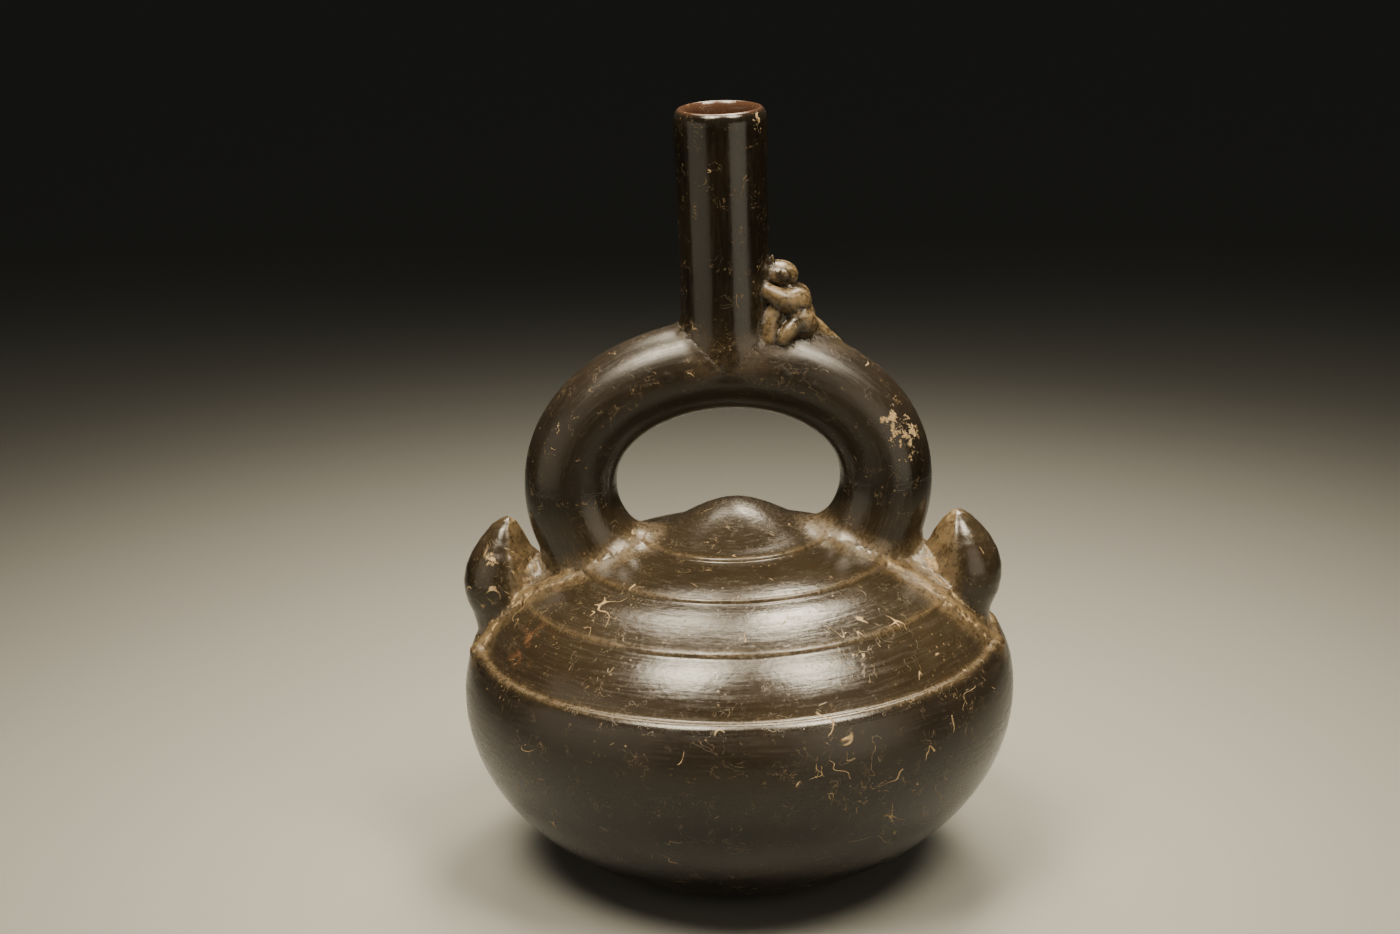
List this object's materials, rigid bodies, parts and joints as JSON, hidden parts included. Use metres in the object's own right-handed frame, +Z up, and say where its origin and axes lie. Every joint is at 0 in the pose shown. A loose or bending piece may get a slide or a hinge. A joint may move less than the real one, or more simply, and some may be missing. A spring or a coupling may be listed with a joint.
{
  "type": "stirrup spout vessel",
  "caption": "Burnished blackware stirrup spout vessel with a stepped round body, arched hollow handle, tubular spout, pointed shoulder lugs and a small seated animal.",
  "frame": {"origin": "the point where the body's axis of turning meets the flat underside", "axes": "+Z up through the mouth; the stirrup stands in the XZ plane with the small animal on the +X side; the front looks toward -Y"},
  "size_m": [0.1549, 0.155, 0.2158],
  "materials": {
    "blackware": "burnished, reduction fired, with earth deposits"
  },
  "bodies": {
    "root": {"stirrup_vessel": "blackware"}
  },
  "joints": []
}
